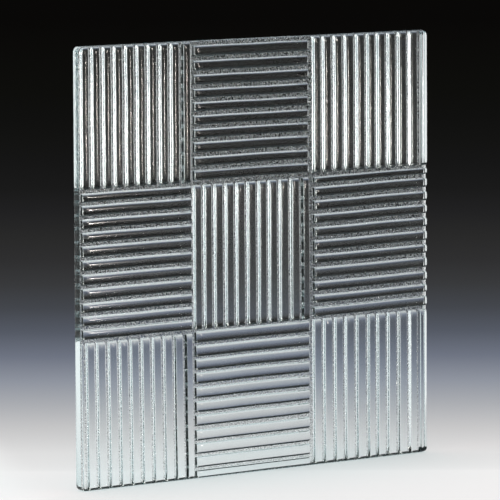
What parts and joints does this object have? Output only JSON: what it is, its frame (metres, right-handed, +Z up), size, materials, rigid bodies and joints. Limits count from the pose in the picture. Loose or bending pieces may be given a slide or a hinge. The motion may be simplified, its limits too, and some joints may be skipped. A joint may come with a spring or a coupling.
{
  "type": "textured glass panel",
  "caption": "Square kiln-formed clear glass panel, flat at the back, its front cast in a chequer of upright and level half-round ribs.",
  "frame": {"origin": "middle of the bottom edge, halfway through the overall thickness, on the plane the panel stands on", "axes": "+X along the bottom edge, -Y out of the ribbed front, +Y out of the flat back, +Z up"},
  "size_m": [0.305, 0.01, 0.305],
  "materials": {
    "clear_glass": "clear soda-lime glass with a faint aqua tint, fire-polished ribs and edges, rougher grooves"
  },
  "bodies": {
    "root": {"glass_panel": "clear_glass"}
  },
  "joints": []
}
